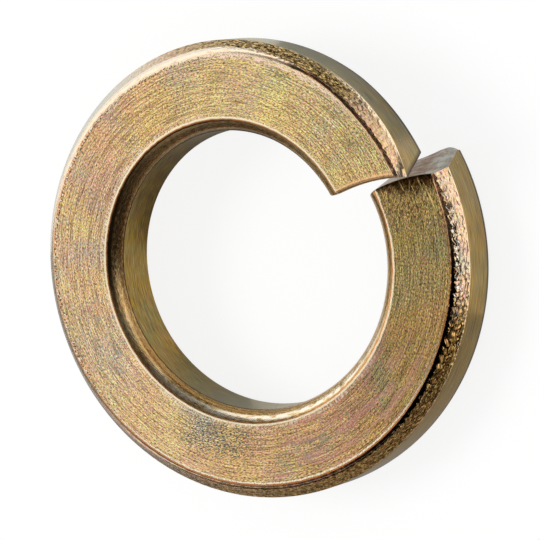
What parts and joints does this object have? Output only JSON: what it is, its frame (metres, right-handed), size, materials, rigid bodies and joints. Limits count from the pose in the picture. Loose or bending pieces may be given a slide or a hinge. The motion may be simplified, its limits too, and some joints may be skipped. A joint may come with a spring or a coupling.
{
  "type": "spring lock washer",
  "caption": "Split helical lock washer of silicon bronze: a left-hand coil of flat wire, sheared through at a slant so that its edges bite under a turning nut.",
  "frame": {"origin": "on the axis of the bore, at the level of the lowest point of the back face", "axes": "+Z along the axis of the coil, from the back face towards the front face; the split lies 29 degrees from +X towards +Y"},
  "size_m": [0.0268, 0.0268, 0.008],
  "materials": {
    "silicon_bronze": "fine circular rolling lines on the face, coarse drawn grain on the chamfer, satin on the rim and bore"
  },
  "bodies": {
    "root": {"spring_washer": "silicon_bronze"}
  },
  "joints": []
}
